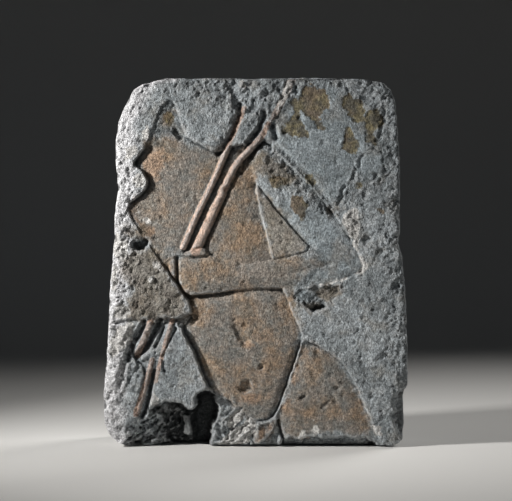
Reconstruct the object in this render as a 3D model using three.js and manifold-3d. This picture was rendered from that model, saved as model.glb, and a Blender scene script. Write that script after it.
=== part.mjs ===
// A block of limestone carved in sunk relief: the body of a striding figure with a bent arm,
// whose fist holds two slanting rods in front of the chest. The carving is cut into the front face,
// and the foot of the block is broken away at one side.
// Millimetres. +X runs to the viewer's right, +Z up, and the carved face looks along -Y.
// The origin is at the middle of the underside, on which the block stands.
import * as THREE from "three";
import { mergeVertices } from "three/addons/utils/BufferGeometryUtils.js";
import Module from "manifold-3d";

// The block
const HEIGHT = 230;
const BASE_WIDTH = 190;
const TOP_WIDTH = 173;
const THICKNESS = 60;
const ARRIS = 3.2; // how far the worn edges are rounded

// Depths of the carving, below the dressed face
const TORSO_FLOOR = 3.0;
const TORSO_CROWN = 1.3;
const ARM_FLOOR = 2.3;
const ARM_CROWN = 0.35;
const HIP_FLOOR = 2.2;
const HIP_CROWN = 0.6;
const CORD_BED = 2.2;
const RELIEF_SWELL = 7; // how far the rounded forms swell towards the viewer

// What the fist holds, and the cords below the flared end
const ROD_ONE_WIDTH = 3.6;
const ROD_TWO_TOP_WIDTH = 4.4;
const ROD_TWO_FOOT_WIDTH = 7.4;
const ROD_TWO_HEAD_WIDTH = 5;
const ROD_CROWN = 0.25;
const CORD_WIDTH = 3.4;
const GROOVE_WIDTH = 3;
const GROOVE_DEPTH = 3.4;
const DENT_WIDTH = 4.5;
const DENT_DEPTH = 2;

// Damage
const BROKEN_FOOT_DEPTH = 24;
const PIT_DEPTH = 4.5;
const CHIP_SIZE = 5;
const CHIP_COUNT = 14;

const FRONT = -THICKNESS / 2;
const CLEAR = 4; // how far a cutter stands out of the face
const ROOT = 3; // how far an added form is rooted below the floor of its bed
const OVERLAP = 0.15; // how far an added form grows into the stone beside it

// Outlines, as [across, up] in thousandths of the block: across from its centre line, as a share of
// its width at that height, and up from its foot, as a share of its height
const BLOCK_OUTLINE = [
  [-494, 877], [-481, 904], [-465, 937], [-441, 966], [-413, 980], [-384, 985], [-367, 996], [-342, 1000],
  [-58, 1000], [302, 999], [417, 993], [460, 985], [488, 966], [500, 937], [504, 869], [507, 775],
  [505, 667], [501, 575], [493, 551], [505, 516], [511, 425], [512, 317], [509, 168], [497, 133],
  [497, 61], [485, 23], [458, 0], [-419, 0], [-459, 12], [-486, 34], [-500, 63], [-506, 115],
  [-506, 187], [-504, 276], [-500, 344], [-498, 438], [-496, 546], [-493, 627], [-485, 694],
  [-498, 775], [-501, 829],
];
const TORSO = [
  [-301, 945], [-278, 904], [-266, 864], [-244, 834], [-180, 810], [-148, 796], [-120, 799], [-85, 810],
  [-21, 821], [21, 832], [67, 813], [21, 761], [-3, 705], [7, 659], [28, 592], [55, 508], [75, 465],
  [95, 419], [119, 371], [142, 330], [158, 295], [147, 260], [120, 206], [93, 139], [66, 85], [36, 69],
  [-7, 66], [-43, 85], [-76, 112], [-119, 125], [-156, 158], [-177, 190], [-201, 244], [-225, 282],
  [-253, 322], [-243, 333], [-213, 357], [-224, 389], [-248, 411], [-273, 443], [-301, 473],
  [-336, 511], [-368, 546], [-411, 592], [-437, 624], [-449, 654], [-415, 675], [-388, 694],
  [-378, 713], [-389, 737], [-411, 753], [-436, 767], [-402, 796], [-375, 837], [-359, 877], [-339, 918],
];
const BENT_ARM = [
  [-268, 508], [-175, 513], [-148, 519], [-127, 500], [-96, 489], [-38, 492], [21, 500], [117, 519],
  [193, 532], [142, 575], [83, 627], [35, 675], [0, 710], [-18, 753], [0, 802], [42, 807], [109, 770],
  [165, 726], [223, 675], [271, 629], [311, 584], [347, 535], [376, 478], [324, 460], [269, 443],
  [184, 433], [99, 427], [14, 430], [-88, 422], [-190, 411], [-238, 411], [-262, 441], [-270, 473],
];
const HIP = [
  [161, 290], [198, 276], [241, 260], [287, 230], [313, 198], [339, 152], [363, 104], [385, 58],
  [403, 23], [419, -20], [113, -20], [80, 28], [63, 77], [90, 139], [120, 206], [144, 257],
];
const CORD_BED_OUTLINE = [
  [-378, 336], [-317, 338], [-256, 330], [-302, 274], [-320, 204], [-345, 150], [-354, 106],
  [-382, 63], [-416, 85], [-408, 150], [-424, 214], [-422, 263], [-404, 298],
];
const BROKEN_FOOT = [
  [-350, 109], [-301, 123], [-248, 125], [-195, 133], [-166, 150], [-113, 123], [-73, 106], [-112, 80],
  [-138, 42], [-157, -20], [-386, -20], [-394, 42], [-372, 74],
];
const ELBOW_PIT = [
  [136, 422], [170, 433], [225, 435], [280, 441], [282, 414], [268, 398], [241, 389], [234, 373],
  [190, 368], [163, 389], [139, 400],
];
const EDGE_HOLE = [[-441, 551], [-410, 559], [-376, 565], [-365, 546], [-389, 538], [-409, 530], [-423, 540]];

const ROD_ONE = [[-43, 915], [-106, 799], [-251, 546]];
const ROD_TWO = [[-25, 813], [-86, 719], [-148, 624], [-209, 530]];
const ROD_TWO_HEAD = [[122, 980], [46, 869], [7, 821]];
const CORDS = [
  [[-358, 337], [-376, 290], [-402, 252]],
  [[-287, 337], [-306, 282], [-343, 182]],
  [[-341, 247], [-357, 198], [-396, 96]],
];
const GROOVES = [
  [[-71, 908], [-94, 850], [-122, 797]], // beside the first rod's head
  [[30, 900], [22, 868], [-24, 818]], // beside the second rod's head
  [[-262, 508], [-258, 540]], // between the fist and the thumb
  [[-378, 333], [-402, 298], [-422, 240]],
  [[-317, 333], [-346, 285], [-402, 245]],
  [[-345, 190], [-357, 140], [-376, 72]],
];
const BELLY_DENTS = [
  [[-64, 322], [-34, 279]], // the navel
  [[-40, 170], [-34, 158]],
];
const HIP_DENTS = [
  [[205, 123], [251, 104]],
  [[150, 139], [155, 131]],
];

const library = await Module();
library.setup();

// Where a spot of the carving lies on the face, in millimetres
const widthAt = (up) => BASE_WIDTH + (TOP_WIDTH - BASE_WIDTH) * up;
const spot = ([across, up]) =>
  new THREE.Vector2((across / 1000) * widthAt(up / 1000), (up / 1000) * HEIGHT);
const into = (depth) => FRONT + depth;

// A closed geometry as a solid that can be joined and cut
function solid(geometry) {
  const bare = geometry.clone();
  bare.deleteAttribute("normal");
  bare.deleteAttribute("uv");
  const merged = mergeVertices(bare, 1e-4);
  return new library.Manifold(
    new library.Mesh({
      numProp: 3,
      vertProperties: new Float32Array(merged.attributes.position.array),
      triVerts: new Uint32Array(merged.index.array),
    }),
  );
}

function geometryOf(made) {
  const mesh = made.getMesh();
  const geometry = new THREE.BufferGeometry();
  geometry.setAttribute("position", new THREE.BufferAttribute(new Float32Array(mesh.vertProperties), 3));
  geometry.setIndex(new THREE.BufferAttribute(new Uint32Array(mesh.triVerts), 1));
  const faceted = geometry.toNonIndexed();
  faceted.computeVertexNormals();
  return faceted;
}

// An outline moved outwards by a distance, corner by corner
function grown(outline, by) {
  const turn = THREE.ShapeUtils.isClockWise(outline) ? -1 : 1;
  return outline.map((here, i) => {
    const before = outline.at(i - 1);
    const after = outline[(i + 1) % outline.length];
    const along = after.clone().sub(before).normalize();
    return new THREE.Vector2(here.x + turn * by * along.y, here.y - turn * by * along.x);
  });
}

// A prism of an outline, from in front of the face down to a depth
function prism(outline, depth, growth = 0) {
  const shape = new THREE.Shape(grown(outline.map(spot), growth));
  const geometry = new THREE.ExtrudeGeometry(shape, { depth: depth + CLEAR, bevelEnabled: false });
  geometry.rotateX(Math.PI / 2);
  geometry.translate(0, into(depth), 0);
  return solid(geometry);
}

// An oval form about a middle on the face, at a depth. Its length runs at a tilt from +X.
function oval(middle, length, width, deep, depth, tilt, sides) {
  const geometry = new THREE.SphereGeometry(1, sides, sides / 2);
  geometry.scale(length / 2, deep, width / 2);
  geometry.rotateY(-tilt);
  geometry.translate(middle.x, into(depth), middle.y);
  return solid(geometry);
}

// A rounded form whose highest point, its crown, lies at a depth below the face
function swell(middle, length, width, crown, tilt = 0) {
  return oval(spot(middle), length, width, RELIEF_SWELL, crown + RELIEF_SWELL, tilt, 36);
}

// A straight bar between two spots of the face, round or with few sides, that may taper
function bar(from, to, fromRadius, toRadius, deep, sides, depth) {
  const a = spot(from);
  const b = spot(to);
  const reach = (fromRadius + toRadius) / 4;
  const length = a.distanceTo(b) + 2 * reach;
  const geometry = new THREE.CylinderGeometry(fromRadius, toRadius, length, sides, 1);
  geometry.scale(1, 1, deep);
  geometry.rotateX(Math.PI / 2); // its axis now runs along Z, and its depth along Y
  geometry.rotateY(Math.atan2(a.x - b.x, a.y - b.y));
  geometry.translate((a.x + b.x) / 2, into(depth), (a.y + b.y) / 2);
  return solid(geometry);
}

// Bars of one width along a line of spots, joined into one
function rail(line, width, deep, sides, depth) {
  return line
    .slice(1)
    .map((to, i) => bar(line[i], to, width / 2, width / 2, deep, sides, depth))
    .reduce((all, one) => all.add(one));
}

// A round rod along a line of spots, each length of it with its crown near the face
function rod(line, startWidth, endWidth) {
  const widthOf = (i) => startWidth + ((endWidth - startWidth) * i) / (line.length - 1);
  const lengths = line.slice(1).map((to, i) => {
    const axis = ROD_CROWN + widthOf(i + 1) / 2;
    return bar(line[i], to, widthOf(i) / 2, widthOf(i + 1) / 2, 1, 12, axis);
  });
  return lengths.reduce((all, one) => all.add(one));
}

// A ball with an uneven skin, for breaks and chips
function lump(middle, radii, turn, detail = 2) {
  const geometry = new THREE.IcosahedronGeometry(1, detail);
  const points = geometry.attributes.position;
  for (let i = 0; i < points.count; i++) {
    const p = new THREE.Vector3().fromBufferAttribute(points, i);
    const rough = Math.sin(5.1 * p.x + turn) * Math.sin(4.3 * p.y + 2 * turn) * Math.sin(6.7 * p.z + 3 * turn);
    p.multiplyScalar(1 + 0.16 * rough);
    points.setXYZ(i, p.x * radii[0], p.y * radii[1], p.z * radii[2]);
  }
  geometry.rotateY(turn);
  geometry.translate(...middle);
  return solid(geometry);
}

// The squared block, with worn arrises
function block() {
  const shape = new THREE.Shape(BLOCK_OUTLINE.map(spot));
  const geometry = new THREE.ExtrudeGeometry(shape, {
    depth: THICKNESS - 2 * ARRIS,
    bevelThickness: ARRIS,
    bevelSize: ARRIS,
    bevelOffset: -ARRIS,
    bevelSegments: 3,
  });
  geometry.rotateX(Math.PI / 2);
  geometry.translate(0, THICKNESS / 2 - ARRIS, 0);
  return solid(geometry);
}

// Cuts a form's bed into the stone and leaves the rounded form standing in it
function carve(stone, outline, floor, forms) {
  const rounded = forms.reduce((all, one) => all.add(one));
  const standing = prism(outline, floor + ROOT, OVERLAP).intersect(rounded).intersect(block());
  return stone.subtract(prism(outline, floor)).add(standing);
}

function carveTorso(stone) {
  const chest = swell([-140, 680], 0.82 * BASE_WIDTH, 0.78 * HEIGHT, TORSO_CROWN);
  const belly = swell([-20, 250], 0.5 * BASE_WIDTH, 0.62 * HEIGHT, TORSO_CROWN, 0.25);
  return carve(stone, TORSO, TORSO_FLOOR, [chest, belly]);
}

function carveRods(stone) {
  return stone
    .add(rod(ROD_ONE, ROD_ONE_WIDTH, ROD_ONE_WIDTH))
    .add(rod(ROD_TWO, ROD_TWO_TOP_WIDTH, ROD_TWO_FOOT_WIDTH))
    .add(rod(ROD_TWO_HEAD, ROD_TWO_HEAD_WIDTH, ROD_TWO_HEAD_WIDTH));
}

function carveArm(stone) {
  const forearm = swell([20, 463], 0.92 * BASE_WIDTH, 0.15 * HEIGHT, ARM_CROWN, 0.06);
  const upperArm = swell([150, 650], 0.86 * BASE_WIDTH, 0.27 * HEIGHT, ARM_CROWN, -0.84);
  return carve(stone, BENT_ARM, ARM_FLOOR, [forearm, upperArm]);
}

function carveHip(stone) {
  const hip = swell([235, 110], 0.42 * BASE_WIDTH, 0.6 * HEIGHT, HIP_CROWN, 0.3);
  return carve(stone, HIP, HIP_FLOOR, [hip]);
}

function carveCords(stone) {
  const bed = stone.subtract(prism(CORD_BED_OUTLINE, CORD_BED));
  return CORDS.reduce((all, line) => all.add(rod(line, CORD_WIDTH, CORD_WIDTH)), bed);
}

// A dent between two spots of a form with this crown
function dent([from, to], crown) {
  const a = spot(from);
  const b = spot(to);
  const length = a.distanceTo(b) + DENT_WIDTH;
  const tilt = Math.atan2(b.y - a.y, b.x - a.x);
  return oval(a.lerp(b, 0.5), length, DENT_WIDTH, DENT_DEPTH, crown, tilt, 12);
}

function carveDents(stone) {
  const dents = [
    ...BELLY_DENTS.map((ends) => dent(ends, TORSO_CROWN)),
    ...HIP_DENTS.map((ends) => dent(ends, HIP_CROWN)),
  ];
  return dents.reduce((all, one) => all.subtract(one), stone);
}

// Narrow grooves with slanting walls
function carveGrooves(stone) {
  const deep = (2 * GROOVE_DEPTH) / GROOVE_WIDTH;
  return GROOVES.reduce(
    (all, line) => all.subtract(rail(line, GROOVE_WIDTH, deep, 4, 0)),
    stone,
  );
}

function breakFoot(stone) {
  const middle = spot([-262, 45]);
  const scoop = lump([middle.x, FRONT, middle.y], [0.15 * BASE_WIDTH, BROKEN_FOOT_DEPTH, 0.12 * HEIGHT], 0.7, 4);
  return stone.subtract(scoop.intersect(prism(BROKEN_FOOT, BROKEN_FOOT_DEPTH)));
}

function breakPits(stone) {
  const pit = spot([205, 405]);
  const hole = spot([-400, 547]);
  const pitBall = lump([pit.x, FRONT, pit.y], [0.085 * BASE_WIDTH, PIT_DEPTH, 0.042 * HEIGHT], 2.1);
  const holeBall = lump([hole.x, FRONT, hole.y], [0.05 * BASE_WIDTH, PIT_DEPTH, 0.02 * HEIGHT], 1.2);
  return stone
    .subtract(pitBall.intersect(prism(ELBOW_PIT, PIT_DEPTH)))
    .subtract(holeBall.intersect(prism(EDGE_HOLE, PIT_DEPTH)));
}

// Chips along the front arris, spread evenly round the outline with unequal sizes
function chipEdges(stone) {
  const outline = BLOCK_OUTLINE.map(spot);
  for (let i = 0; i < CHIP_COUNT; i++) {
    const place = (i * outline.length) / CHIP_COUNT;
    const a = outline[Math.floor(place)];
    const b = outline[(Math.floor(place) + 1) % outline.length];
    const at = a.clone().lerp(b, place % 1);
    const size = CHIP_SIZE * (0.75 + 0.35 * Math.sin(2.4 * i));
    stone = stone.subtract(lump([at.x, FRONT, at.y], [size, 0.8 * size, 1.3 * size], i, 1));
  }
  const flake = spot([500, 92]); // the long flake off the right edge, low down
  stone = stone.subtract(lump([flake.x, FRONT, flake.y], [1.5 * CHIP_SIZE, 3 * CHIP_SIZE, 0.062 * HEIGHT], 0, 2));
  const notch = spot([37, 0]); // the gap in the foot between the belly and the hip
  return stone.subtract(lump([notch.x, FRONT, notch.y], [1.6 * CHIP_SIZE, CHIP_SIZE, 1.3 * CHIP_SIZE], 1.9, 2));
}

// Moves the finished stone so that the middle of its underside is the origin
function centred(geometry) {
  geometry.computeBoundingBox();
  const { min, max } = geometry.boundingBox;
  return geometry.translate(-(min.x + max.x) / 2, -(min.y + max.y) / 2, -min.z);
}

const steps = [
  carveTorso, carveRods, carveArm, carveHip, carveDents, carveCords, carveGrooves,
  breakPits, breakFoot, chipEdges,
];
const carved = steps.reduce((stone, step) => step(stone), block());

const limestone = new THREE.MeshStandardMaterial({ color: 0x9c8d78, roughness: 0.92, metalness: 0 });
const panel = new THREE.Mesh(centred(geometryOf(carved)), limestone);
panel.name = "relief_panel";

const reliefPanel = new THREE.Group();
reliefPanel.add(panel);

export default reliefPanel;
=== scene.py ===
import math
from itertools import product

import bmesh
import bpy
import numpy as np
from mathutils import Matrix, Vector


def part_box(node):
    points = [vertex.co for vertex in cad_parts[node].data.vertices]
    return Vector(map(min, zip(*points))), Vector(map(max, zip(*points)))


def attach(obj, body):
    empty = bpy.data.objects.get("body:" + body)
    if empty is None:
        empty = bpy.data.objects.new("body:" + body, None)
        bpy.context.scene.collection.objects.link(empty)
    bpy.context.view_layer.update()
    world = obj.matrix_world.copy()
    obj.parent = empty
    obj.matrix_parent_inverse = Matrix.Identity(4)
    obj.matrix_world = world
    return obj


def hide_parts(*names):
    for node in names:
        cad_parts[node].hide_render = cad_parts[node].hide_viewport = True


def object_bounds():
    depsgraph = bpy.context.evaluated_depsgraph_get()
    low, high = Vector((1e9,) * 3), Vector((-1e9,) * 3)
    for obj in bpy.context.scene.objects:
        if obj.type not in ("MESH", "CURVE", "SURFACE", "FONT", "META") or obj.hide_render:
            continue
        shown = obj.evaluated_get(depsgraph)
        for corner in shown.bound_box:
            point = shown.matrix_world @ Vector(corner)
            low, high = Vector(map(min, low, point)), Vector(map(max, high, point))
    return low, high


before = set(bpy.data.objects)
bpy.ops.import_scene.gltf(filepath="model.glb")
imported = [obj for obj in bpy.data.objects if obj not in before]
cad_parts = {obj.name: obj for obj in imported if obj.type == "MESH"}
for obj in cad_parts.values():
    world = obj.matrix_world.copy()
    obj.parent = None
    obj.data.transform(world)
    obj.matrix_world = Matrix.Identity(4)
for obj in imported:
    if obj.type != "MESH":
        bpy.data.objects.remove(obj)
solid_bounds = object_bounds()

bl_info = {
    "name": "Carved Limestone Block",
    "version": (1, 0, 0),
    "blender": (4, 5, 0),
    "location": "3D View > Sidebar > Carved Block",
    "description": "Makes a weathered limestone block with a painted sunk relief, in a plain studio",
    "category": "Object",
}

# Sizes on the stone are millimetres until the mesh is written, and depths are measured into the
# stone from its dressed face.
NODE = "relief_panel"
BODY = "root"
MM = 0.001
LOW, HIGH = (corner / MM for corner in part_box(NODE))
HEIGHT = HIGH.z
FRONT = LOW.y
THICKNESS = HIGH.y - LOW.y

# Places on the carved face are read in pixels of the reference, whose rows run down.
TOP_ROW = 76.5
FOOT_ROW = 447.5
MIDDLE_COLUMN = 256.0
PICTURE_WIDTH = 512
PICTURE_HEIGHT = 501
PIXEL = HEIGHT / (FOOT_ROW - TOP_ROW)

# The chart is a grid of cells over the face, on which the carving and the finish are worked out.
CHART_PITCH = 0.4
CHART_MARGIN = 7.0
CHART_X = np.arange(LOW.x - CHART_MARGIN, HIGH.x + CHART_MARGIN, CHART_PITCH)
CHART_Z = np.arange(-CHART_MARGIN, HEIGHT + CHART_MARGIN, CHART_PITCH)
GRID_X, GRID_Z = np.meshgrid(CHART_X, CHART_Z)

WALL = 0.7  # width of a carved edge, seen from the front
REACH = 14.0  # distances from an outline are worked out this far

# Carved forms
TORSO = [
    (172, 97), (178, 112), (181, 127), (187, 138), (205, 147), (214, 152), (222, 151), (232, 147),
    (250, 143), (262, 139), (275, 146), (262, 165), (255, 186), (258, 203), (264, 228), (272, 259),
    (278, 275), (284, 292), (291, 310), (298, 325), (303, 338), (300, 351), (292, 371), (284, 396),
    (276, 416), (267, 422), (254, 423), (243, 416), (233, 406), (220, 401), (209, 389), (203, 377),
    (196, 357), (189, 343), (181, 328), (184, 324), (193, 315), (190, 303), (183, 295), (176, 283),
    (168, 272), (158, 258), (149, 245), (137, 228), (130, 216), (127, 205), (137, 197), (145, 190),
    (148, 183), (145, 174), (139, 168), (132, 163), (142, 152), (150, 137), (155, 122), (161, 107),
]
BENT_ARM = [
    (178, 259), (205, 257), (213, 255), (219, 262), (228, 266), (245, 265), (262, 262), (290, 255),
    (312, 250), (297, 234), (280, 215), (266, 197), (256, 184), (251, 168), (256, 150), (268, 148),
    (287, 162), (303, 178), (320, 197), (334, 214), (346, 231), (357, 249), (366, 270), (351, 277),
    (335, 283), (310, 287), (285, 289), (260, 288), (230, 291), (200, 295), (186, 295), (179, 284),
    (177, 272), ]
HIP = [
    (304, 340), (315, 345), (328, 351), (342, 362), (350, 374), (358, 391), (366, 409), (373, 426),
    (379, 439), (386, 456), (291, 456), (281, 437), (276, 419), (284, 396), (293, 371), (300, 352),
]
ROD_ONE = [(244, 108), (236, 128), (226, 151), (212, 184), (196, 216), (183, 247)]
ROD_TWO = [(268, 124), (263, 135), (252, 147), (240, 159), (232, 171), (216, 206), (200, 241), (195, 251)]
ROD_TWO_HEAD = [(291, 80), (284, 99), (276, 112), (267, 126)]
CORD_BED = [
    (144, 323), (162, 322), (180, 325), (171, 340), (162, 358), (155, 376), (152, 392), (149, 408),
    (142, 420), (134, 414), (139, 398), (143, 382), (144, 368), (134, 360), (130, 350), (136, 337),
]
CORD_ONE = [(150, 322), (144, 340), (137, 355)]
CORD_TWO = [(172, 321), (166, 341), (160, 362), (155, 382)]
CORD_THREE = [(152, 360), (148, 376), (143, 393), (136, 414)]

# Rods and cords, as (line, width at the top and the bottom)
RODS = [(ROD_ONE, (2.6, 3.5)), (ROD_TWO, (2.8, 6.0))]
ROD_HEAD = (ROD_TWO_HEAD, (6.4, 4.0))
CORDS = [(CORD_ONE, (3.0, 4.0)), (CORD_TWO, (2.6, 1.8)), (CORD_THREE, (2.4, 3.6))]

# Depths of the carving
TORSO_FLOOR = 3.1
TORSO_CROWN = 1.7
ARM_FLOOR = 1.9
ARM_CROWN = 0.35
HIP_FLOOR = 2.6
HIP_CROWN = 0.6
CORD_FLOOR = 2.6
CORD_RISE = 0.4  # how far the bed of the cords swells towards its middle
THUMB_FLOOR = 3.0
THUMB_CROWN = 1.2
ROD_FOOT_FLOOR = 1.5
ROD_FOOT_CROWN = 0.7
ROD_BED = 1.6  # how much deeper the body is cut along the right of each rod

# Depth of the crown of a round bar at its top and its foot, and of the bed that it stands in
ROD_RISE = ((0.8, 0.0), 3.4)
ROD_HEAD_RISE = ((-0.15, 0.1), 2.2)
CORD_BAR_RISE = ((0.3, 0.7), 2.6)
THUMB = [(167, 261), (172, 258), (177, 260), (177, 280), (173, 278), (168, 271)]
ROD_FOOT = [(187, 249), (206, 246), (207, 257), (196, 258), (184, 258)]

# Where the body is cut deeper beside a form that stands over it, as (line, width, depth)
UNDERCUTS = [
    ([(184, 297), (205, 296), (230, 293)], 5.6, 1.6),
    ([(184, 296), (205, 295), (230, 292), (262, 289), (286, 290)], 4.6, 1.5),
    ([(182, 327), (190, 344), (197, 358), (210, 389), (222, 402)], 7.0, 2.4),
    ([(172, 98), (160, 107), (155, 124), (150, 138)], 9.0, -1.5),
    ([(149, 148), (140, 157), (131, 164)], 4.0, 1.6),
    ([(148, 174), (149, 185), (139, 197), (127, 205)], 3.2, 1.3),
    ([(256, 187), (272, 208), (292, 232), (310, 250)], 3.6, 0.8),
    ([(127, 205), (137, 228), (149, 245), (160, 262)], 8.0, -1.2),
    ([(160, 260), (172, 278), (184, 296)], 2.6, 0.6),
    ([(301, 346), (296, 360), (289, 380), (282, 400), (275, 419)], 3.6, 2.4),
    ([(274, 420), (262, 424), (254, 425), (243, 417)], 2.4, 1.4),
    ([(213, 256), (228, 266), (245, 265), (272, 260)], 3.0, 0.5),
]

# Grooves and cracks, as (line, width, depth)
GROOVES = [
    ([(240, 105), (239, 116), (235, 127), (230, 137), (224, 146), (218, 153)], 3.4, 2.6),
    ([(264, 112), (262, 122), (258, 130), (253, 137), (248, 142)], 3.0, 2.4),
    ([(236, 78), (234, 92), (238, 108)], 5.0, 1.2),
    ([(264, 140), (256, 149), (250, 158), (241, 172)], 2.4, 1.2),
    ([(177, 258), (177, 270), (177, 283)], 1.4, 1.6),
    ([(176, 257), (190, 258), (207, 257)], 1.2, 0.7),
    ([(207, 240), (207, 250), (213, 256)], 2.0, 0.9),
    ([(293, 272), (312, 268), (334, 263)], 1.6, 0.5),
    ([(112, 276), (122, 277), (130, 285), (141, 290), (158, 291)], 2.2, 0.6),
    ([(112, 324), (120, 322), (140, 321), (162, 320)], 2.0, 1.0),
    ([(166, 321), (178, 322), (189, 318)], 3.4, 2.8),
    ([(144, 323), (138, 334), (131, 345), (128, 360)], 3.0, 3.4),
    ([(160, 321), (154, 334), (147, 346), (136, 357)], 3.6, 3.6),
    ([(165, 323), (160, 337), (155, 347)], 1.5, 1.8),
    ([(153, 372), (150, 388), (147, 404), (143, 418)], 2.8, 3.0),
    ([(136, 330), (128, 350), (122, 372), (120, 388)], 3.2, 1.1),
    ([(142, 362), (130, 380), (121, 398)], 2.4, 0.9),
    ([(163, 355), (163, 363), (165, 372)], 1.3, 1.1),
    ([(385, 111), (383, 116), (386, 121), (380, 127), (381, 133), (376, 141)], 1.0, 0.6),
    ([(363, 155), (359, 160), (361, 166), (355, 171), (353, 178)], 1.2, 0.7),
    ([(345, 186), (341, 191), (343, 197), (338, 204)], 1.4, 0.8),
    ([(278, 421), (280, 431), (284, 440)], 1.8, 2.6),
    ([(268, 142), (283, 150), (298, 166), (314, 182), (334, 212)], 3.4, 0.8),
]

# Dents, as (line, width, depth)
DENTS = [
    ([(238, 329), (241, 336), (245, 343)], 6.0, 1.25),
    ([(242, 389), (247, 386)], 3.8, 1.7),
    ([(301, 398), (304, 396)], 2.2, 1.5),
    ([(322, 408), (329, 402)], 1.4, 0.6),
    ([(175, 131), (180, 137)], 3.4, 1.9),
    ([(273, 125), (275, 132), (276, 138)], 3.2, 2.4),
    ([(296, 87), (297, 92)], 2.2, 1.6),
    ([(330, 210), (341, 213)], 5.0, 1.5),
    ([(313, 372), (315, 380)], 2.4, 0.5),
    ([(128, 335), (123, 345)], 3.6, 1.2),
]

# Broken places, as (outline, least depth, greatest depth, the way the break falls, roughness)
BREAKS = [
    ([(126, 430), (134, 421), (143, 417), (150, 407), (160, 403), (172, 402), (180, 405), (190, 412),
      (198, 408), (203, 402), (204, 456), (128, 456), (120, 444)],
     2.0, 19.0, (1.0, -0.5), 4.4),
    ([(174, 402), (180, 405), (190, 412), (198, 408), (203, 402), (206, 430), (204, 456), (176, 456),
      (163, 432), (162, 420), (168, 410)],
     12.0, 21.0, (1.0, -0.8), 3.2),
    ([(198, 400), (207, 391), (214, 398), (218, 408), (215, 422), (209, 436), (208, 456), (196, 456),
      (192, 430), (194, 412)],
     19.0, 24.0, (0.0, -1.0), 1.2),
    ([(206, 392), (222, 400), (236, 405), (248, 417), (258, 424), (258, 438), (246, 447), (240, 456),
      (206, 456), (211, 436), (217, 420)], 2.8, 5.0, (-0.7, -0.7), 2.3),
    ([(296, 291), (306, 287), (322, 286), (338, 284), (340, 294), (335, 300), (327, 303), (325, 309),
      (312, 311), (304, 303), (297, 299)], 1.6, 3.4, (0.6, -0.8), 0.9),
    ([(122, 229), (136, 227), (146, 237), (149, 244), (136, 250), (128, 245), (121, 238)],
     0.8, 2.4, (0.4, -0.7), 0.9),
    ([(395, 395), (420, 386), (420, 438), (404, 436), (397, 428), (394, 410)], 4.0, 17.0, (1.0, 0.0), 1.0),
    ([(281, 440), (300, 438), (330, 439), (352, 437), (374, 440), (380, 456), (284, 456)],
     3.5, 13.0, (0.0, -1.0), 1.0),
    ([(258, 427), (277, 421), (280, 432), (278, 456), (252, 456), (253, 440)], 2.6, 5.0, (0.0, -1.0), 0.6),
    ([(178, 323), (186, 321), (194, 312), (198, 318), (190, 326), (182, 329)], 3.4, 4.4, (0.7, 0.7), 0.3),
    ([(96, 418), (112, 424), (124, 436), (132, 456), (90, 456)], 0.6, 5.0, (-0.6, -0.8), 1.0),
    ([(241, 384), (246, 380), (251, 383), (252, 390), (246, 393), (240, 391)], 3.4, 4.4, (0.3, -0.9), 0.3),
]
SLITS = [
    ([(131, 243), (139, 241), (147, 238), (149, 243), (144, 250), (138, 251)], 6.0),
    ([(310, 308), (318, 305), (327, 306), (321, 310), (313, 311)], 6.0),
    ([(213, 400), (224, 400), (236, 405), (232, 408), (218, 406)], 6.0),
]
STANDING_STONE = [
    (182, 418), (184, 417), (187, 418), (189, 417), (190, 424), (191, 431), (192, 434), (190, 437),
    (184, 438), (182, 436), (183, 429),
]
STANDING_STONE_DEPTH = 10.5
PEBBLE = [(148, 278), (151, 275), (154, 277), (154, 281), (151, 284), (148, 282)]
PEBBLE_HEIGHT = 1.6
ORANGE_SHARD = [(257, 430), (274, 420), (277, 427), (266, 440), (256, 447), (254, 440)]
ORANGE_SHARD_DEPTH = 1.6

# Skins of plaster that still stand on the stone
PLASTER_SKINS = [
    [(268, 142), (276, 122), (288, 100), (303, 84), (330, 83), (352, 92), (372, 106), (385, 112),
     (380, 128), (375, 142), (362, 156), (352, 176), (343, 188), (336, 202), (322, 196), (308, 178),
     (296, 164), (284, 156)],
    [(355, 158), (372, 150), (384, 158), (383, 172), (372, 180), (358, 176)],
    [(186, 84), (214, 90), (236, 103), (226, 130), (219, 149), (206, 146), (190, 138), (184, 126),
     (186, 104)],
    [(240, 120), (246, 113), (262, 111), (265, 114), (256, 136), (251, 142), (234, 147), (236, 132)],
    [(243, 121), (248, 115), (260, 113), (262, 117), (253, 135), (248, 140), (239, 143)],
]
SPLINTER_ANGLE = math.radians(42)
PLASTER_HEIGHT = 0.45
OLIVE_RAGGED = 1.5

# Where the stone has weathered most
ROUGH = [
    [(128, 322), (176, 322), (172, 350), (160, 380), (150, 416), (128, 418), (128, 350)],
    [(236, 96), (262, 84), (300, 78), (290, 100), (272, 130), (256, 146), (240, 146), (226, 150),
     (230, 120)],
    [(122, 228), (148, 228), (150, 244), (126, 250)],
    [(110, 228), (130, 226), (150, 246), (128, 262), (120, 300), (104, 300)],
    [(108, 322), (140, 323), (136, 350), (128, 400), (104, 400)],
    [(185, 80), (250, 80), (262, 100), (240, 112), (222, 110), (190, 100)],
    [(252, 148), (275, 146), (300, 166), (336, 212), (326, 222), (300, 196), (272, 178), (256, 184)],
    [(335, 205), (362, 205), (366, 250), (350, 240)],
    [(118, 170), (146, 172), (146, 190), (128, 204), (118, 200)],
    [(118, 250), (150, 250), (186, 300), (190, 320), (118, 320)],
]

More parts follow.
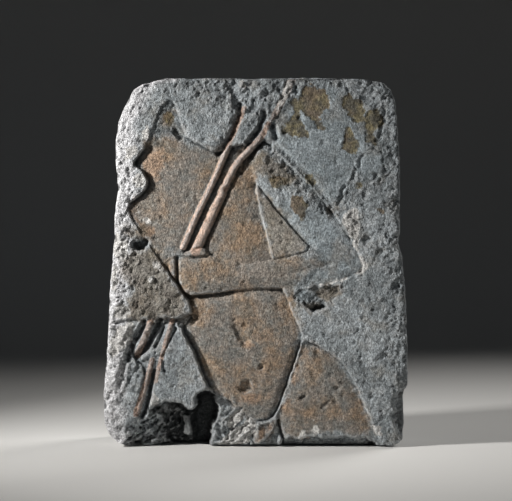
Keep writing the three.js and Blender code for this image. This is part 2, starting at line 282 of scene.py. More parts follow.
# Finishes, as outlines on the face
FLARE = [
    [(120, 258), (140, 247), (152, 248), (166, 270), (184, 296), (194, 313), (186, 321), (128, 321),
     (124, 300), (132, 290), (120, 278)],
]
PAINTED = [
    [(149, 137), (166, 132), (184, 140), (210, 152), (250, 146), (262, 148), (255, 186), (272, 258),
     (298, 254), (318, 262), (304, 274), (294, 286), (300, 334), (292, 371), (276, 416), (254, 423),
     (233, 406), (209, 389), (196, 357), (181, 328), (193, 315), (183, 295), (158, 258), (137, 228),
     (128, 206), (146, 190), (147, 178), (134, 163)],
    [(303, 341), (328, 352), (342, 366), (356, 391), (366, 412), (376, 434), (350, 436), (330, 431),
     (296, 440), (281, 437), (276, 419), (293, 371)],
    [(166, 259), (178, 256), (178, 284), (172, 280)],
    [(256, 430), (274, 420), (277, 427), (266, 440), (256, 446)],
    [(162, 111), (172, 110), (175, 119), (168, 126), (163, 128), (161, 119)],
    [(295, 268), (312, 265), (330, 261), (324, 267), (308, 273), (295, 276)],
]
OLIVE = [
    [(303, 88), (313, 84), (324, 90), (330, 98), (331, 109), (322, 113), (321, 122), (327, 130),
     (318, 130), (310, 118), (303, 112), (297, 104)],
    [(290, 97), (298, 99), (301, 109), (298, 115), (303, 124), (310, 131), (306, 137), (292, 136),
     (283, 130), (290, 121), (294, 111)],
    [(341, 97), (351, 97), (361, 102), (366, 110), (363, 119), (356, 122), (349, 114), (343, 105)],
    [(346, 127), (354, 132), (359, 143), (359, 150), (352, 154), (344, 150), (342, 141)],
    [(303, 176), (310, 175), (316, 181), (313, 187), (308, 183)],
    [(290, 192), (300, 196), (307, 203), (308, 212), (299, 220), (292, 212), (290, 202)],
    [(376, 206), (381, 206), (384, 211), (379, 212)],
    [(167, 113), (172, 112), (174, 118), (172, 125), (168, 126), (166, 120)],
    [(267, 178), (273, 175), (284, 177), (287, 182), (279, 188), (271, 184)],
    [(355, 185), (359, 181), (364, 183), (360, 190)],
    [(366, 110), (378, 110), (384, 118), (377, 128), (376, 142), (364, 140), (366, 124)],
]
PIT_STAIN = [
    [(318, 288), (338, 284), (341, 294), (330, 303), (318, 303)],
    [(300, 300), (326, 304), (322, 312), (308, 311)],
    [(343, 204), (338, 214), (330, 214), (330, 206)],
    [(120, 228), (146, 228), (148, 240), (126, 240)],
    [(256, 150), (268, 152), (286, 166), (300, 180), (296, 190), (276, 176), (258, 176)],
]
SMOOTH_GREY = [
    [(266, 142), (284, 106), (303, 82), (334, 82), (344, 96), (372, 108), (378, 140), (362, 155),
     (350, 178), (336, 202), (320, 198), (300, 168), (284, 156)],
    [(298, 236), (302, 214), (324, 212), (344, 232), (364, 268), (335, 282), (306, 287), (312, 272),
     (326, 263), (314, 250)],
    [(282, 196), (292, 200), (300, 222), (312, 246), (296, 232), (284, 214)],
    [(355, 158), (372, 150), (384, 158), (383, 172), (372, 180), (358, 176)],
    [(156, 114), (163, 104), (171, 98), (172, 108), (162, 112), (160, 126), (176, 126), (178, 131),
     (160, 136), (153, 138)],
    [(214, 174), (232, 152), (240, 150), (224, 178), (206, 212), (194, 232), (188, 240), (200, 204)],
    [(164, 244), (176, 250), (184, 256), (178, 259), (166, 257)],
    [(266, 433), (276, 428), (279, 440), (268, 442)],
    [(296, 291), (308, 290), (312, 298), (302, 302), (297, 298)],
]

# The ground inside the bend of the arm
GAP = [(258, 184), (272, 198), (292, 222), (312, 248), (290, 256), (272, 260), (264, 226)]

# Pale patches: freshly bruised stone, and painted highlights on the carved walls round the arm that face the
# light
BRUISES_AND_HIGHLIGHTS = [
    [(144, 128), (149, 125), (150, 131), (147, 138), (142, 137)],
    [(128, 148), (136, 143), (138, 149), (134, 158), (127, 160), (124, 154)],
    [(114, 306), (128, 305), (130, 314), (122, 320), (114, 318)],
    [(112, 268), (117, 266), (118, 290), (112, 296)],
    [(152, 261), (156, 260), (163, 272), (160, 273)],
    [(120, 325), (136, 324), (134, 338), (126, 346), (118, 352), (112, 362), (109, 348), (114, 334)],
    [(149, 390), (156, 389), (160, 398), (156, 408), (150, 405)],
    [(143, 218), (149, 219), (152, 223), (146, 224)],
    [(133, 211), (140, 211), (139, 215), (133, 214)],
    [(118, 232), (127, 243), (128, 256), (120, 262), (112, 252), (112, 238)],
    [(220, 440), (236, 428), (248, 418), (258, 428), (250, 442), (238, 450), (218, 452)],
    [(230, 412), (240, 411), (246, 418), (234, 428), (226, 430)],
    [(149, 276), (154, 276), (154, 283), (149, 283)],
    [(286, 82), (294, 80), (287, 98), (279, 111), (273, 113), (280, 98)],
    [(136, 172), (144, 176), (146, 184), (138, 188), (130, 184)],
    # Painted highlights along the arm's right and lower walls, where they face the light
    [(345, 214), (358, 206), (360, 226), (358, 252), (350, 236), (342, 222)],
    [(355, 246), (360, 253), (367, 265), (367, 269), (361, 261)],
    [(304, 287), (318, 285), (335, 281), (352, 275), (366, 268), (366, 270), (350, 278), (335, 284),
     (304, 289)],
    [(372, 425), (380, 427), (384, 436), (374, 437)],
    [(300, 432), (304, 430), (306, 438), (300, 440)],
    [(315, 427), (318, 430), (316, 440), (311, 438)],
    [(240, 79), (247, 80), (246, 88), (241, 87)],
]
ORANGE = [
    [(148, 152), (160, 148), (164, 166), (156, 182), (148, 178), (143, 164)],
    # Along the hip's left wall: orange paint, partly a painted highlight where the wall faces the light
    [(300, 352), (306, 352), (298, 374), (290, 398), (283, 412), (284, 396)],
    [(240, 394), (256, 392), (258, 402), (246, 406)],
    [(242, 340), (256, 338), (258, 348), (246, 350)],
    ORANGE_SHARD,
    [(132, 212), (144, 224), (152, 236), (142, 232), (130, 216)],
]

# Painted shade that also shows where the carving turns from the front, and finishes that reach round the
# sides
OPEN_FINISHES = ("hollow", "break_shade", "deep")
WIDE_FINISHES = ("margin", "harsh")

# Finished patches by the name of their attribute, as (outlines, raggedness, seed, fade)
PATCHES = {
    "paint": (PAINTED, 1.6, 210, 9),
    "flare": (FLARE + PIT_STAIN + [GAP], 2.0, 215, 9),
    "olive": (OLIVE, OLIVE_RAGGED, 220, 6),
    "plaster": (SMOOTH_GREY, 2.0, 230, 14),
    "bruise_and_highlight": (BRUISES_AND_HIGHLIGHTS, 1.2, 240, 3),
    "orange": (ORANGE, 2.5, 250, 10),
}

# Unevenness of the chart, as (amount, size, seed) and, where the lumps are drawn out, a stretch
# and its angle
STROKE_ANGLE = math.radians(55)
FACE_DRESSING = 0.45  # how far the face is dressed back on average
FACE_LUMPS = [(0.3, 46, 1), (0.16, 15, 2), (0.09, 6, 3)]
FORM_LUMPS = [(1.0, 5, 0), (0.5, 2, 400)]
TORSO_LUMPS = [(0.35, 5, 20), (0.18, 2, 420)]
ROD_LUMPS = [(0.12, 5, 11), (0.10, 2, 12)]
RAGGED_LUMPS = [(1.0, 6, 0), (0.6, 2.6, 1), (0.35, 1.4, 2)]
BREAK_EDGE_LUMPS = [(1.0, 6, 80), (0.7, 2.2, 800)]
SLIT_EDGE_LUMPS = [(0.7, 3, 130), (0.4, 1.6, 135)]
SHARD_EDGE_LUMPS = [(0.5, 2.4, 142)]
SHARD_LUMPS = [(0.9, 5, 140), (0.4, 2, 141)]
SPLINTER_LUMPS = [(0.7, 13, 0), (0.28, 4.5, 1)]
FRACTURE_LUMPS = [(0.55, 9, 5), (0.3, 2.2, 6)]
GRAIN_LUMPS = [(0.17, 1.5, 6, 1.2, STROKE_ANGLE), (0.10, 3.2, 5, 1.6, STROKE_ANGLE), (0.16, 9, 7)]

# Splinters in a break, as (amount, spacing)
COARSE_SPLINTERS = (1.3, 6.5)
FINE_SPLINTERS = (0.6, 2.7)

# Ridges as (amount, lumps) about a level, and pock marks as (amount, level, lumps)
RIDGE_LEVEL = 0.4
RIDGES = [(0.22, (2.4, 10, 1.5, STROKE_ANGLE)), (0.36, (11, 11))]
POCKS = [(0.5, 0.8, (4.4, 8)), (0.6, 0.75, (2.0, 9))]

# How rough the weather has left the stone: everywhere, and more or less of it in some places
HARSH_EVERYWHERE = 1.1
HARSH_AT_MARGIN = 0.7
HARSH_WHERE_ROUGH = 0.45
HARSH_UNDER_PLASTER = -0.7
HARSH_ON_BODY = -0.5
HARSH_RANGE = (0.3, 2)
MARGIN_REACH = 14

# Unevenness in space, as (amount, size, seed)
ARRIS_WEAR = [(0.45, 19, 310), (0.25, 7, 311)]
ARRIS_WEAR_RANGE = (0.35, 2)
SIDE_LUMPS = [(0.8, 31, 304), (0.45, 11, 305), (0.2, 4.5, 306)]

# Tooling of the sides and sawing of the back
STROKE_PITCH = 6.4
STROKE_SLOPE = (0.82, 0.57)
SAW_PITCH = 4.3
SAW_SLOPE = 0.12
SIDE_WEAR = 0.9
STROKE_DEPTH = 0.32
SIDE_LUMP_DEPTH = 0.75
BACK_WEAR = 0.5
SAW_DEPTH = 0.1
BACK_LUMP_DEPTH = 0.4

# How far behind the face the finishes reach: round the sides, and on the surface of the carving
SIDE_FADE = 45
CARVING_FADE = 2.5

# Pits all over the stone, with sizes from a gamma distribution, and chips along the front arris with
# sizes between two limits. Depths are shares of the size.
PIT_COUNT = 420
PIT_SIZES = (2.0, 0.32)
PIT_LEAST = 0.45
PIT_DEPTH = 0.42
EDGE_CHIP_COUNT = 70
SIDE_CHIP_SIZES = (1.2, 4.0)
SIDE_CHIP_DEPTH = 0.6
END_CHIP_SIZES = (1.2, 3.4)
END_CHIP_DEPTH = 0.7

SEED = 41
HASH_STEPS = np.array([73856093, 19349663, 83492791])
HASH_SEED_STEP = 374761393
HASH_MIX = 1274126177
OUTER_SHARE = 0.5  # points further out than this share of the half width are on the block's edges
BUMP_DEPTH = 0.0014  # metres from the lowest to the highest grain

# Noise in the finish, as (size in metres, detail, roughness, offset)
BROAD = (0.030, 4.0, 0.6, 3.0)
MIDDLING = (0.0065, 4.0, 0.65, 7.0)
SMALL = (0.0026, 4.0, 0.7, 9.0)
GRAIN = (0.0013, 3.0, 0.7, 11.0)
STAINS = (0.011, 4.0, 0.6, 13.0)
PLASTER_STAINS = (0.022, 4.0, 0.6, 45.0)
FINE_CRUMB = (0.0010, 3.0, 0.65, 71.0)
COARSE_CRUMB = (0.0024, 4.0, 0.65, 73.0)
COARSE_SHARE = 0.6

# Streaks of the plaster, as noise that is drawn out, turned and distorted
STREAKS = (0.006, 5.0, 0.6, 41.0, (0.45, 1, 1.3), 0.35, 1.2)

# How each finish lies on the stone: how much it hides, and the raggedness, size in metres, offset and
# softness of the noise at its edge
COVERS = {
    "orange": (0.55, 1.0, 0.006, 25.0, 0.3),
    "paint": (0.9, 0.8, 0.006, 31.0, 0.32),
    "flare": (0.7, 1.0, 0.006, 35.0, 0.3),
    "plaster": (0.68, 0.8, 0.007, 43.0, 0.34),
    "olive": (0.85, 0.5, 0.003, 53.0, 0.14),
    "rods": (0.88, 0.5, 0.004, 57.0, 0.25),
    "bruise_and_highlight": (0.85, 0.7, 0.003, 61.0, 0.2),
}
# Shares of painted shade laid in the breaks and in the deep breaks
BREAK_SHADE_SHARE = 0.8
DEEP_SHADE_SHARE = 0.8

# Ranges of noise or of an attribute over which one colour gives way to another, and how much of it
STONE_SHADES = (0.35, 0.65)
PALE_SPOTS = (0.45, 0.7, 0, 0.5)
UMBER_STAINS = (0.5, 0.72, 0, 0.4)
PALE_AND_LIT_MARGIN = (0.25, 0.85, 0, 0.85)
WORN_THROUGH = (0.6, 0.8, 1, 0.4)
PAINT_SHADES = (0.36, 0.62)
PAINT_GREYED = (0.42, 0.62, 0.5, 0)
PLASTER_SHADES = (0.36, 0.62)
PLASTER_BROWNED = (0.5, 0.66, 0, 0.5)
OLIVE_SHADES = (0.42, 0.62)
OLIVE_OCHRE = (0.48, 0.6, 0, 0.45)
# Painted shade, with some dirt, that darkens the hollows of the carving
SHADE_AND_DIRT_IN_HOLLOWS = (0.6, 1.0, 0, 0.75)
RUBBED_RIDGES = (0.44, 0.15, 0, 0.4)

# Ranges over which the grain changes the brightness, the gloss and the bump
GRAIN_BRIGHTNESS = (0.3, 0.7, 0.56, 1.44)
SPECK_BRIGHTNESS = (0.32, 0.68, 0.75, 1.23)
GRAIN_ROUGHNESS = (0.3, 0.7, 0.78, 0.96)
BUMP_BY_HARSHNESS = (0.15, 0.7, 0.6, 2.4)
SPECULAR_LEVEL = 0.25

# The studio. Lamps are (place, size, colour, spread in degrees).
SWEEP = {"width": 6.0, "front": -3.0, "back": 0.9, "radius": 0.6, "top": 2.0}
KEY = ((-0.50, -0.225, 0.34), 0.07, (1.0, 0.985, 0.96), 65)
FILL = ((0.5, -1.6, 0.7), 1.0, (0.78, 0.89, 1.0), 40)
BACK = ((0.75, 0.75, 0.75), 0.6, (1.0, 0.98, 0.95), 50)


# The chart


def on_face(points):
    """Places in pixels of the reference, as millimetres across and up the face"""
    places = np.asarray(points, float)
    across = (places[:, 0] - MIDDLE_COLUMN) * PIXEL
    up = (FOOT_ROW - places[:, 1]) * PIXEL
    return np.column_stack([across, up])


def softened_corners(line, closed):
    """Cuts the corners of a line, so that it bends more smoothly"""
    after = np.roll(line, -1, 0)
    cut = np.stack([0.75 * line + 0.25 * after, 0.25 * line + 0.75 * after], 1).reshape(-1, 2)
    return cut if closed else np.vstack([line[:1], cut[1:-3], line[-1:]])


def measure(points, closed, reach=REACH):
    """Distance of each cell of the chart from a line, and whether it lies inside a closed one"""
    line = softened_corners(on_face(points), closed)
    low = line.min(0) - reach
    high = line.max(0) + reach
    columns = slice(*np.searchsorted(CHART_X, [low[0], high[0]]))
    rows = slice(*np.searchsorted(CHART_Z, [low[1], high[1]]))
    x = GRID_X[rows, columns]
    z = GRID_Z[rows, columns]
    near = np.full(x.shape, reach)
    inside = np.zeros(x.shape, bool)
    starts, ends = (line, np.roll(line, -1, 0)) if closed else (line[:-1], line[1:])
    for (ax, az), (bx, bz) in zip(starts, ends):
        dx, dz = bx - ax, bz - az
        share = np.clip(((x - ax) * dx + (z - az) * dz) / max(dx * dx + dz * dz, 1e-9), 0, 1)
        near = np.minimum(near, np.hypot(x - ax - share * dx, z - az - share * dz))
        if closed and az != bz:
            inside ^= ((az > z) != (bz > z)) & (x < dx * (z - az) / dz + ax)
    distance = np.full(GRID_X.shape, reach)
    distance[rows, columns] = near
    within = np.zeros(GRID_X.shape, bool)
    within[rows, columns] = inside
    return distance, within


def inside_of(outline):
    """How far each cell lies inside an outline, and below nought outside it"""
    distance, within = measure(outline, closed=True)
    return np.where(within, distance, -distance)


def waves():
    """The frequency of each term of the chart's Fourier transform, across and up"""
    across = np.fft.rfftfreq(GRID_X.shape[1], CHART_PITCH)[None, :]
    up = np.fft.fftfreq(GRID_X.shape[0], CHART_PITCH)[:, None]
    return across, up


def softened(field, size):
    """The field with detail under a size in millimetres smoothed away"""
    across, up = waves()
    keep = np.exp(-2 * (math.pi * size / 2) ** 2 * (across**2 + up**2))
    return np.fft.irfft2(np.fft.rfft2(field) * keep, s=field.shape)


def mottle(size, seed, stretch=1.0, angle=0.0):
    """Random soft lumps of a size, mostly from -1 to 1, drawn out by a stretch along an angle"""
    white = np.random.default_rng(SEED + seed).standard_normal(GRID_X.shape)
    across, up = waves()
    along = across * math.cos(angle) + up * math.sin(angle)
    beside = up * math.cos(angle) - across * math.sin(angle)
    keep = np.exp(-2 * (math.pi * size / 4) ** 2 * ((stretch * along) ** 2 + beside**2))
    field = np.fft.irfft2(np.fft.rfft2(white) * keep, s=white.shape)
    return 0.5 * field / field.std()


def lumps(parts, seed=0, start=0.0):
    """Mottles laid over a start. Their seeds count from the one given."""
    total = start
    for amount, size, number, *drawn_out in parts:
        total = total + amount * mottle(size, seed + number, *drawn_out)
    return total


def step(inside, width):
    """0 outside an outline and 1 inside it, with a soft edge of a width"""
    share = np.clip(inside / width + 0.5, 0, 1)
    return share * share * (3 - 2 * share)


def raggedness(seed):
    """Uneven steps by which the edge of a broken skin wanders"""
    return lumps(RAGGED_LUMPS, seed)


def swelling(share):
    """A rise from 0 at a form's edge to 1 at its crown, gentler at the edge than a quarter round"""
    return 1 - (1 - np.clip(share, 0, 1)) ** 1.7


def rounded(share):
    """The rise of a quarter round, from 0 at its foot to 1 at its crown"""
    share = np.clip(share, 0, 1)
    return np.sqrt(1 - (1 - share) ** 2)


def blend(first, second, share):
    """The first value at a share of 0 and the second at 1"""
    return first + (second - first) * share


# The carving


def dressed_face():
    """The worn face of the stone, before it is carved"""
    return lumps(FACE_LUMPS, start=FACE_DRESSING)


def sink_form(depth, outline, floor, crown, roundness, seed, wobble=0.35):
    """Cuts a bed inside an outline and leaves a rounded form standing in it"""
    inside = inside_of(outline) + wobble * lumps(FORM_LUMPS, seed)
    form = floor - (floor - crown) * swelling(inside / roundness)
    return blend(depth, form, step(inside, WALL))


def beside_rod(line, widths):
    """How far each cell lies outside a rod, its radius there, and its share of the way down the rod"""
    distance, _ = measure(line, closed=False, reach=10)
    top, bottom = on_face(line)[[0, -1], 1]
    share = np.clip((top - GRID_Z) / (top - bottom), 0, 1)
    radius = blend(widths[0], widths[1], share) / 2
    return distance - radius, radius, share


def add_rod(depth, line, widths, crowns, foot):
    """A round bar whose width and crown run from one value to another down its line"""
    outside, radius, share = beside_rod(line, widths)
    distance = outside + radius
    radius = lumps(ROD_LUMPS, start=radius)
    crown = blend(crowns[0], crowns[1], np.clip(2.4 * share, 0, 1))
    bar = crown + (foot - crown) * (1 - rounded((radius - distance) / radius))
    return np.where(distance < radius, np.minimum(depth, bar), depth)


def cut_groove(depth, line, width, deep, seed):
    """A groove with sloping sides along a line, uneven as a worn cut is"""
    distance, _ = measure(line, closed=False, reach=6)
    half = width / 2 * (1 + 0.25 * mottle(3, seed))
    return depth + deep * np.clip(1 - (distance / half) ** 2, 0, 1)


def sink_torso(depth):
    """The body in its sunk outline, cut deeper beside the forms that stand over it"""
    inside = lumps(TORSO_LUMPS, start=inside_of(TORSO))
    form = TORSO_FLOOR - (TORSO_FLOOR - TORSO_CROWN) * swelling(inside / 20)
    for line, width, deep in UNDERCUTS:
        distance, _ = measure(line, closed=False, reach=9)
        form = form + deep * np.clip(1.1 - distance / width, 0, 1) ** 1.5
    for line, widths in RODS + [ROD_HEAD]:
        outside, _, _ = beside_rod(line, widths)
        across, up = on_face(line).T
        shaded = step(GRID_X - np.interp(GRID_Z, up[::-1], across[::-1]), 2)
        form = form + (0.5 + ROD_BED * shaded) * np.clip(1 - outside / 2.6, 0, 1)
    return blend(depth, form, step(inside, WALL))


def carve_figure(depth):
    """The body, then what stands over it: the thumb, the rods, the arm and the hip"""
    depth = sink_torso(depth)
    depth = sink_form(depth, THUMB, THUMB_FLOOR, THUMB_CROWN, 2, 21)
    for line, widths in RODS:
        depth = add_rod(depth, line, widths, *ROD_RISE)
    depth = add_rod(depth, *ROD_HEAD, *ROD_HEAD_RISE)
    depth = sink_form(depth, ROD_FOOT, ROD_FOOT_FLOOR, ROD_FOOT_CROWN, 3, 25, 0.15)
    depth = sink_form(depth, BENT_ARM, ARM_FLOOR, ARM_CROWN, 7, 22)
    return sink_form(depth, HIP, HIP_FLOOR, HIP_CROWN, 12, 23)


def carve_cords(depth):
    """The cords below the flared form, in their sunk bed"""
    depth = sink_form(depth, CORD_BED, CORD_FLOOR, CORD_FLOOR - CORD_RISE, 4, 24)
    for line, widths in CORDS:
        depth = add_rod(depth, line, widths, *CORD_BAR_RISE)
    return depth


def carve_lines(depth):
    """Every groove, crack and dent"""
    for number, (line, width, deep) in enumerate(GROOVES + DENTS):
        depth = cut_groove(depth, line, width, deep, 30 + number)
    return depth


def lay_plaster(depth):
    """Thin skins of plaster with ragged edges, which have flaked off the olive patches"""
    flaked = np.full(GRID_X.shape, -REACH)
    for outline in OLIVE:
        flaked = np.maximum(flaked, inside_of(outline))
    flaked = flaked + OLIVE_RAGGED * raggedness(220)
    for number, outline in enumerate(PLASTER_SKINS):
        inside = inside_of(outline) + 1.4 * raggedness(60 + 10 * number)
        depth = depth - PLASTER_HEIGHT * step(np.minimum(inside, -flaked), 0.9)
    return depth


def splinters(spacing, seed):
    """Slanting splinters of broken stone, from 0 to 1, with a sharp edge between one and the next"""
    across = GRID_X * math.sin(SPLINTER_ANGLE) - GRID_Z * math.cos(SPLINTER_ANGLE)
    count = lumps(SPLINTER_LUMPS, seed, across / spacing)
    return count - np.floor(count)


def fracture_texture(seed):
    """Splinters of two sizes on uneven ground, with crumbs between them"""
    coarse_amount, coarse_spacing = COARSE_SPLINTERS
    fine_amount, fine_spacing = FINE_SPLINTERS
    coarse = (splinters(coarse_spacing, seed) - 0.5) * (0.6 + 0.5 * mottle(12, seed + 2))
    fine = (splinters(fine_spacing, seed + 3) - 0.5) * np.clip(0.5 + mottle(8, seed + 4), 0, 1)
    return lumps(FRACTURE_LUMPS, seed, coarse_amount * coarse + fine_amount * fine)


def break_away(depth):
    """Cuts the broken places. Each falls from its least to its greatest depth along its own slope."""
    for number, (outline, least, most, (across, up), rough) in enumerate(BREAKS):
        inside = lumps(BREAK_EDGE_LUMPS, number, inside_of(outline))
        corners = on_face(outline)
        fall = GRID_X * across + GRID_Z * up
        ends = corners @ np.array([across, up])
        share = np.clip((fall - ends.min()) / (ends.max() - ends.min()), 0, 1)
        floor = blend(least, most, share) + rough * fracture_texture(500 + 10 * number)
        depth = blend(depth, np.maximum(depth, floor), step(inside, 1.0 + 0.12 * most))
    for number, (outline, deep) in enumerate(SLITS):
        inside = lumps(SLIT_EDGE_LUMPS, number, inside_of(outline))
        depth = blend(depth, np.maximum(depth, deep), step(inside, 1.2))
    return depth


def stand_shards(depth):
    """Small pieces of stone that stand up inside the breaks"""
    for outline, level in [(STANDING_STONE, STANDING_STONE_DEPTH), (ORANGE_SHARD, ORANGE_SHARD_DEPTH)]:
        inside = lumps(SHARD_EDGE_LUMPS, start=inside_of(outline))
        depth = blend(depth, lumps(SHARD_LUMPS, start=level), step(inside, 0.8))
    inside = inside_of(PEBBLE)
    return depth - PEBBLE_HEIGHT * rounded(inside / 1.2) * step(inside, 0.6)


def scatter_pits(depth, edge):
    """Small round pits all over the stone, and chips along its front arris"""
    rng = np.random.default_rng(SEED)
    places = rng.uniform((LOW.x, 0), (HIGH.x, HEIGHT), (PIT_COUNT, 2))
    sizes = rng.gamma(*PIT_SIZES, PIT_COUNT) + PIT_LEAST
    pits = [(x, z, size, PIT_DEPTH * size) for (x, z), size in zip(places, sizes)]
    heights = rng.uniform(0, HEIGHT, EDGE_CHIP_COUNT)
    for height in heights:
        left, right = edge(height)
        side = left if rng.random() < 0.5 else right
        size = rng.uniform(*SIDE_CHIP_SIZES)
        pits.append((side, height, size, SIDE_CHIP_DEPTH * size))
    for across in rng.uniform(LOW.x, HIGH.x, EDGE_CHIP_COUNT // 2):
        size = rng.uniform(*END_CHIP_SIZES)
        pits.append((across, rng.choice([0.0, HEIGHT]), size, END_CHIP_DEPTH * size))
    for x, z, size, deep in pits:
        columns = slice(*np.searchsorted(CHART_X, [x - 2 * size, x + 2 * size]))
        rows = slice(*np.searchsorted(CHART_Z, [z - 2 * size, z + 2 * size]))
        off = np.hypot(GRID_X[rows, columns] - x, GRID_Z[rows, columns] - z) / size
        depth[rows, columns] += deep * np.exp(-(off**4))
    return depth


def harshness(edge):
    """How rough the weather has left each place, least under plaster and most at the margins"""
    smooth = sum(step(inside_of(outline), 4) for outline in SMOOTH_GREY[:4] + [GAP])
    body = sum(step(inside_of(outline), 4) for outline in PAINTED[:2])
    left, right = edge.columns()
    rim = np.minimum(np.minimum(GRID_X - left, right - GRID_X), HEIGHT - GRID_Z) + 2.5 * mottle(14, 300)
    margin = np.clip(1.25 - rim / MARGIN_REACH, 0, 1)
    rough = sum(step(inside_of(outline), 5) for outline in ROUGH)
    harsh = HARSH_EVERYWHERE + HARSH_AT_MARGIN * margin + HARSH_WHERE_ROUGH * rough
    harsh = harsh + HARSH_UNDER_PLASTER * smooth + HARSH_ON_BODY * body
    return np.clip(harsh, *HARSH_RANGE)


def weather(depth, edge):
    """Grain, sharp little ridges and a few pock marks, strongest where the stone is most exposed"""
    harsh = harshness(edge)
    ridges = sum(amount * (RIDGE_LEVEL - np.abs(mottle(*lump))) for amount, lump in RIDGES)
    pocks = sum(amount * np.clip(mottle(*lump) - level, 0, 1) for amount, level, lump in POCKS)
    return depth + harsh * (lumps(GRAIN_LUMPS) + harsh * ridges + pocks)


def relief(edge):
    """The depth of the finished front of the stone at each cell of the chart"""
    depth = dressed_face()
    depth = lay_plaster(depth)
    depth = carve_figure(depth)
    depth = carve_cords(depth)
    depth = carve_lines(depth)
    depth = weather(depth, edge)
    depth = scatter_pits(depth, edge)
    depth = break_away(depth)
    depth = stand_shards(depth)
    return softened(depth, 0.35)


# The finish


def patches(outlines, ragged, seed, fade):
    """Where a finish covers the stone, from 0 to 1 over a fade, and a half at its outlines"""
    cover = np.full(GRID_X.shape, -REACH)
    for outline in outlines:
        cover = np.maximum(cover, inside_of(outline))
    return np.clip(0.5 + (cover + ragged * raggedness(seed)) / fade, 0, 1)


def along_rods():
    """Where the paint of the rods and the cords lies"""
    cover = np.full(GRID_X.shape, -REACH)
    for line, widths in RODS + CORDS:
        outside, _, _ = beside_rod(line, widths)
        cover = np.maximum(cover, -0.3 - outside)
    outside, _, _ = beside_rod(*ROD_HEAD)
    cover = np.maximum(cover, np.minimum(-1.2 - outside, 0))
    return np.clip(0.5 + cover / 2, 0, 1)


def finishes(depth, edge):
    """The chart of each finish, with the painted shade and highlights among them, by the name of its
    attribute on the mesh
    """
    left, right = edge.columns()
    margin = GRID_X - left + 3.0 * mottle(12, 200)
    rim = np.minimum(GRID_X - left, right - GRID_X)
    # The painted shade in the breaks is weaker towards the sides
    inner = np.clip((rim + 0.5) / 4, 0.3, 1)  # breaks are paler at the sides
    return {
        **{name: patches(*patch) for name, patch in PATCHES.items()},
        # Painted shade: the deep breaks darken with depth, and less towards the sides
        "deep": np.clip((depth - 6) / 8, 0, 1) * inner,
        "rods": along_rods(),
        # Paler towards the left edge: partly worn stone and partly painted light from the left
        "margin": np.clip(1.15 - margin / 20, 0, 1),
        "harsh": harshness(edge) / 2,
        "hollow": np.clip(0.5 + (depth - softened(depth, 3.0)) / 2.4, 0, 1),
        # Painted shade inside the breaks, darker with depth
        "break_shade": np.clip((depth - 5.5) / 4, 0, 1) * inner,
    }


# The mesh


class Edge:
    """The left and right edge of the solid at mid thickness"""

    def __init__(self, node):
        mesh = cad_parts[node].data
        corners = np.array([vertex.co for vertex in mesh.vertices]) / MM
        pairs = np.array([edge.vertices[:] for edge in mesh.edges])
        start, end = corners[pairs[:, 0]], corners[pairs[:, 1]]
        across = (start[:, 1] < 0) != (end[:, 1] < 0)
        start, end = start[across], end[across]
        share = start[:, 1] / (start[:, 1] - end[:, 1])
        cut = start + (end - start) * share[:, None]
        self.left = self.profile(cut[cut[:, 0] < OUTER_SHARE * LOW.x], outermost=min)
        self.right = self.profile(cut[cut[:, 0] > OUTER_SHARE * HIGH.x], outermost=max)

    @staticmethod
    def profile(points, outermost):
        """Heights, rising, and the outermost place across at each"""
        heights = np.unique(points[:, 2].round(2))
        places = [outermost(points[np.abs(points[:, 2] - height) < 0.02][:, 0]) for height in heights]
        return heights, np.array(places)

    def __call__(self, height):
        return np.interp(height, *self.left), np.interp(height, *self.right)

    def columns(self):
        """The left and the right edge at each row of the chart"""
        return (places[:, None] for places in self(CHART_Z))


def cloud(points, size, seed):
    """Random soft lumps of a size in space, from -1 to 1"""
    cell = points / size
    base = np.floor(cell).astype(np.int64)
    share = cell - base
    share = share * share * (3 - 2 * share)
    total = np.zeros(len(points))
    for corner in product((0, 1), repeat=3):
        mixed = (base + corner) @ HASH_STEPS + (SEED + seed) * HASH_SEED_STEP
        mixed = ((mixed ^ (mixed >> 13)) * HASH_MIX) & 0xFFFFFFFF
        mixed ^= mixed >> 15
        value = (mixed & 0xFFFF) / 32767.5 - 1
        total += value * np.prod(np.where(corner, share, 1 - share), axis=1)
    return total


def clouds(points, parts, start=0.0):
    """Clouds laid over a start"""
    total = start
    for amount, size, seed in parts:
        total = total + amount * cloud(points, size, seed)
    return total


def sampled(chart, x, z):
    """The chart's value at places across and up the face"""
    column = np.clip((x - CHART_X[0]) / CHART_PITCH, 0, len(CHART_X) - 1.001)
    row = np.clip((z - CHART_Z[0]) / CHART_PITCH, 0, len(CHART_Z) - 1.001)
    c, r = column.astype(int), row.astype(int)
    fc, fr = column - c, row - r
    low = chart[r, c] * (1 - fc) + chart[r, c + 1] * fc
    high = chart[r + 1, c] * (1 - fc) + chart[r + 1, c + 1] * fc
    return low * (1 - fr) + high * fr


def sliced_cube(cells):
    """A cube of side 1 about the origin, cut into cells along X, Y and Z"""
    bm = bmesh.new()
    bmesh.ops.create_cube(bm, size=1)
    for axis in (1, 0, 2):
        others = [other for other in range(3) if other != axis]
        along = [
            edge for edge in bm.edges
            if all(abs(edge.verts[0].co[other] - edge.verts[1].co[other]) < 1e-6 for other in others)
        ]
        bmesh.ops.subdivide_edges(bm, edges=along, cuts=cells[axis] - 1, use_grid_fill=True)
    return bm


def round_arrises(place, half_width, radius):
    """Moves points of a box's surface onto worn, rounded edges, and says which way they face"""
    even = np.ones(len(place))
    half = np.column_stack([half_width, even * THICKNESS / 2, even * HEIGHT / 2])
    middle = np.array([0, 0, HEIGHT / 2])
    core = np.clip(place - middle, radius[:, None] - half, half - radius[:, None]) + middle
    off = place - core
    outwards = off / np.linalg.norm(off, axis=1)[:, None]
    return core + outwards * radius[:, None], outwards


